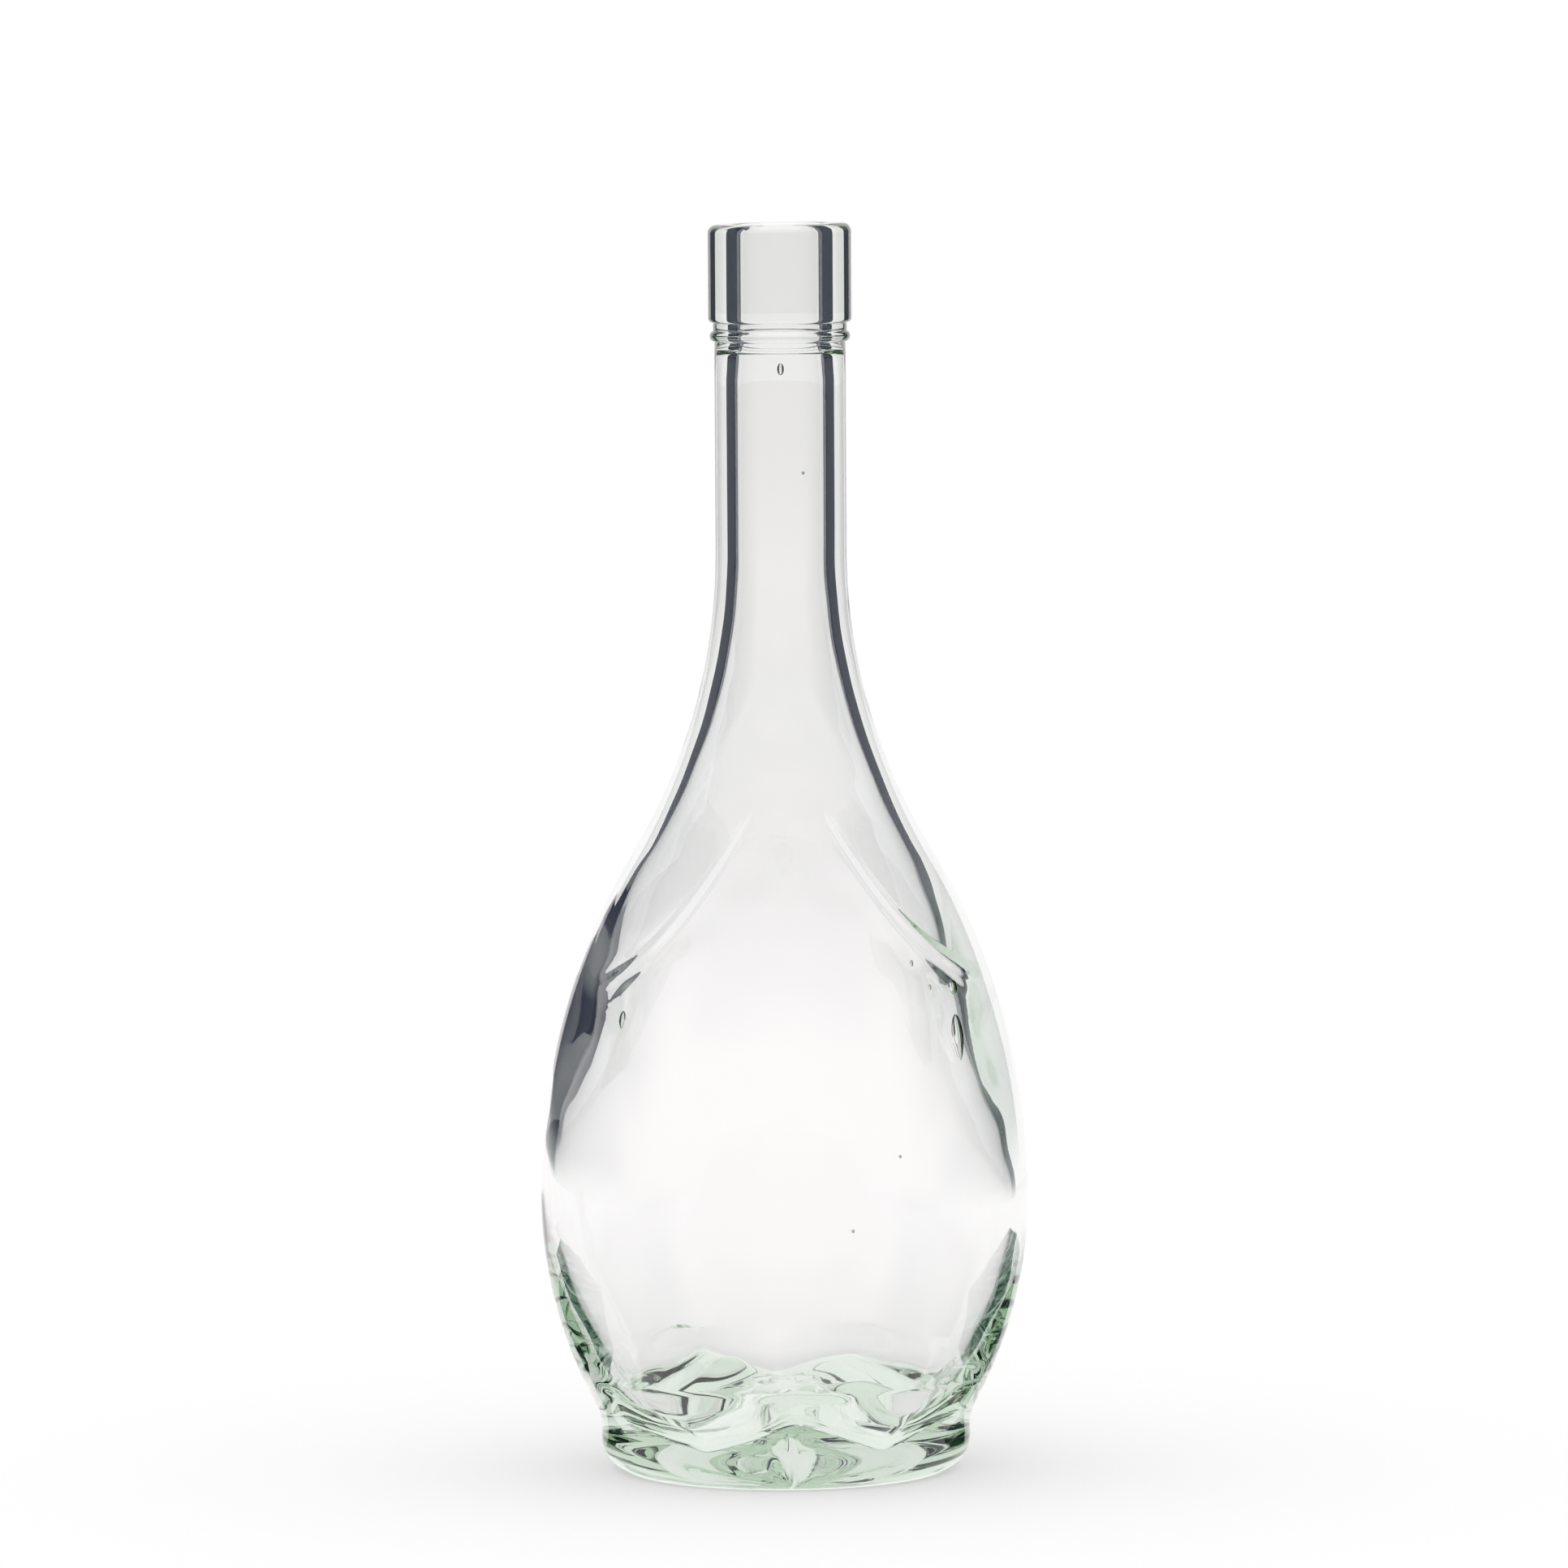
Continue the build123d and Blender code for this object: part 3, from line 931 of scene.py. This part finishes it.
# Height above the table, in metres, and strength of the light in front there.
LIGHT_STEPS = (
    (0.0, 0.95),
    (0.036, 0.85),
    (0.076, 0.90),
    (0.10, 1.0),
    (0.15, 1.0),
    (0.20, 0.40),
    (0.26, 0.20),
    (0.60, 0.12),
)


def new_glow(name):
    """A material that only glows, with its nodes and the glow's colour socket."""
    material = bpy.data.materials.new(name)
    material.use_nodes = True
    tree = material.node_tree
    tree.nodes.remove(tree.nodes["Principled BSDF"])
    glow = tree.nodes.new("ShaderNodeEmission")
    tree.links.new(glow.outputs["Emission"], tree.nodes["Material Output"].inputs["Surface"])
    return material, tree, glow.inputs["Color"]


def card_material(studio):
    """Soft warm light in front, dimmer above, and bluish dark behind the axis."""
    material, tree, shown = new_glow("surroundings")
    axes = object_place(tree)[1]
    ramp = tree.nodes.new("ShaderNodeValToRGB")
    stops = ramp.color_ramp.elements
    while len(stops) < len(LIGHT_STEPS):
        stops.new(1.0)
    for stop, (height, strength) in zip(stops, LIGHT_STEPS):
        stop.position = height / studio.card_height
        stop.color = [part * strength for part in studio.warm] + [1]
    rise = maths(tree, "DIVIDE", axes["Z"], studio.card_height)
    tree.links.new(rise, ramp.inputs["Fac"])
    behind = map_range(tree, axes["Y"], -studio.light_start, -studio.light_end)
    surroundings = mix_colours(tree, behind, ramp.outputs["Color"], tuple(studio.dark))
    above = map_range(tree, axes["Z"], studio.dark_foot, studio.dark_full)
    faded = mix_colours(tree, above, tuple(studio.foot_pale), surroundings)
    tree.links.new(faded, shown)
    return material


# Streaks in the painted shade on the table, drawn out away from the camera: their
# stretch, their scale and between which values of the noise they get pale.
STREAK_STRETCH = (1.0, 0.12, 1.0)
STREAK_SCALE = 160.0
STREAK_START, STREAK_FULL = 0.50, 0.68


def shade_material(studio):
    """Painted shade on the table: a dark glow with paler streaks, seen only in the glass."""
    material, tree, shown = new_glow("table_shade")
    place = object_place(tree)[0]
    noise = drawn_out_noise(tree, place, STREAK_STRETCH, STREAK_SCALE, 2.0)
    pale = map_range(tree, noise, STREAK_START, STREAK_FULL)
    tree.links.new(mix_colours(tree, pale, tuple(studio.shade), tuple(studio.shade_pale)), shown)
    return material


# Corners on the table, in millimetres, of the painted shade beside the bottle.
SHADES = {
    "card_shade_left": (
        (-46, 14), (-58, 2), (-105, 5), (-150, 50), (-165, 100),
        (-160, 135), (-108, 132), (-93, 98), (-79, 66), (-66, 36),
    ),
    "card_shade_right": (
        (50, 14), (60, 2), (105, 8), (150, 60), (195, 130), (230, 225),
        (155, 222), (130, 170), (98, 112), (77, 78), (61, 34),
    ),
}

# Heights of the flat cards over the table, and corners of the round one.
SHADE_HEIGHT = 0.0005
UNDER_HEIGHT = 0.0002
UNDER_CORNERS = 48


def add_card(name, corners, material):
    """A card that is seen only in the glass."""
    bpy.ops.object.select_all(action="DESELECT")
    bpy.ops.mesh.primitive_circle_add(vertices=len(corners), fill_type="NGON")
    card = bpy.context.object
    card.name = name
    for vertex, corner in zip(card.data.vertices, corners):
        vertex.co = corner
    card.data.materials.append(material)
    card.visible_camera = False
    card.visible_diffuse = False
    card.visible_shadow = False
    card.visible_volume_scatter = False
    return card


def upright(start, end, low, high):
    """Corners of an upright card over a line on the table."""
    return ((*start, low), (*end, low), (*end, high), (*start, high))


def add_cards(studio):
    """Cards in front and at both sides, painted shade beside the bottle and painted light under
    it.
    """
    material = card_material(studio)
    side = studio.card_side
    front = -studio.card_front
    back = studio.dark_back
    high = studio.card_height
    foot = studio.dark_foot
    near = studio.dark_low_right
    right = (
        (side, front, foot),
        (side, near, foot),
        (side, near, studio.dark_step),
        (side, back, studio.dark_step + back - near),
        (side, back, high),
        (side, front, high),
    )
    low_left = upright(
        (-side, back), (-side, studio.dark_low_back), studio.dark_low_foot, studio.dark_low_height
    )
    cards = [
        add_card("card_left", upright((-side, front), (-side, back), foot, high), material),
        add_card("card_right", right, material),
        add_card("card_front", upright((-side, front), (side, front), 0, high), material),
        add_card("card_low_left", low_left, material),
    ]
    # Painted shade: dark glowing sheets on the table beside the bottle.
    material = shade_material(studio)
    for name, corners in SHADES.items():
        corners = [(x / 1000, y / 1000, SHADE_HEIGHT) for x, y in corners]
        cards.append(add_card(name, corners, material))
    # Painted light: a pale glowing disc on the table under the base, in place of the bottle's
    # shadow there.
    material, _, shown = new_glow("painted_light_under")
    shown.default_value = (*studio.under, 1)
    reach = studio.under_radius
    turns = [2 * pi * turn / UNDER_CORNERS for turn in range(UNDER_CORNERS)]
    rim = [(reach * cos(turn), reach * sin(turn), UNDER_HEIGHT) for turn in turns]
    cards.append(add_card("card_under", rim, material))
    return cards


# Width of the camera's sensor in millimetres, and how often light may turn in
# the glass.
SENSOR_WIDTH = 36.0
GLASS_BOUNCES = 24
ALL_BOUNCES = 32


class BOTTLE_OT_studio(bpy.types.Operator):
    """Sets up the white floor, plain light, dark surroundings and camera"""

    bl_idname = "bottle.studio"
    bl_label = "Set up the studio"

    def execute(self, context):
        studio = settings().studio
        scene = context.scene
        add_floor(studio)
        world = bpy.data.worlds.new("plain_light")
        world.use_nodes = True
        background = world.node_tree.nodes["Background"]
        background.inputs["Color"].default_value = (*studio.sky, 1)
        background.inputs["Strength"].default_value = 1.0
        scene.world = world
        bpy.ops.object.select_all(action="DESELECT")
        bpy.ops.object.camera_add(
            location=(studio.aim_side, -studio.camera_distance, studio.camera_height)
        )
        camera = context.object
        camera.data.lens = studio.lens
        camera.data.sensor_width = SENSOR_WIDTH
        aim = Vector((studio.aim_side, 0, studio.aim_height))
        look = (aim - camera.location).to_track_quat("-Z", "Y")
        camera.rotation_euler = (look @ Euler((0, 0, -studio.roll)).to_quaternion()).to_euler()
        camera.data.clip_end = studio.floor_size * 2
        scene.camera = camera
        # The cards turn with the camera round this pivot, and keep their distance.
        bpy.ops.object.empty_add(location=aim)
        pivot = context.object
        pivot.name = "card_pivot"
        pivot.constraints.new("COPY_ROTATION").target = camera
        context.view_layer.update()
        for card in add_cards(studio):
            card.parent = pivot
            card.matrix_world = Matrix()
        scene.view_settings.view_transform = "Standard"
        scene.cycles.transmission_bounces = GLASS_BOUNCES
        scene.cycles.glossy_bounces = GLASS_BOUNCES
        scene.cycles.max_bounces = ALL_BOUNCES
        return {"FINISHED"}


STEPS = (
    "bottle.blow",
    "bottle.panels",
    "bottle.star",
    "bottle.walls",
    "bottle.bubbles",
    "bottle.glass",
    "bottle.studio",
)


class BOTTLE_PT_sidebar(bpy.types.Panel):
    """Lists the steps that make the bottle"""

    bl_idname = "BOTTLE_PT_sidebar"
    bl_label = "Genie bottle"
    bl_space_type = "VIEW_3D"
    bl_region_type = "UI"
    bl_category = "Bottle"

    def draw(self, context):
        sizes = context.scene.bottle
        for step in STEPS:
            self.layout.operator(step)
        for part in BottleSizes.__annotations__:
            group = getattr(sizes, part)
            box = self.layout.box()
            for name in group.__annotations__:
                box.prop(group, name)


CLASSES = (
    BottleOutline,
    BottleHollow,
    PanelRelief,
    CrestLine,
    StarRelief,
    GlassFinish,
    PhotoStudio,
    BottleSizes,
    BOTTLE_OT_blow,
    BOTTLE_OT_panels,
    BOTTLE_OT_star,
    BOTTLE_OT_walls,
    BOTTLE_OT_bubbles,
    BOTTLE_OT_glass,
    BOTTLE_OT_studio,
    BOTTLE_PT_sidebar,
)


def register():
    for each in CLASSES:
        bpy.utils.register_class(each)
    bpy.types.Scene.bottle = bpy.props.PointerProperty(type=BottleSizes)


def unregister():
    del bpy.types.Scene.bottle
    for each in reversed(CLASSES):
        bpy.utils.unregister_class(each)


def main():
    register()
    for step in STEPS:
        group, name = step.split(".")
        getattr(getattr(bpy.ops, group), name)()


if __name__ == "__main__":
    main()
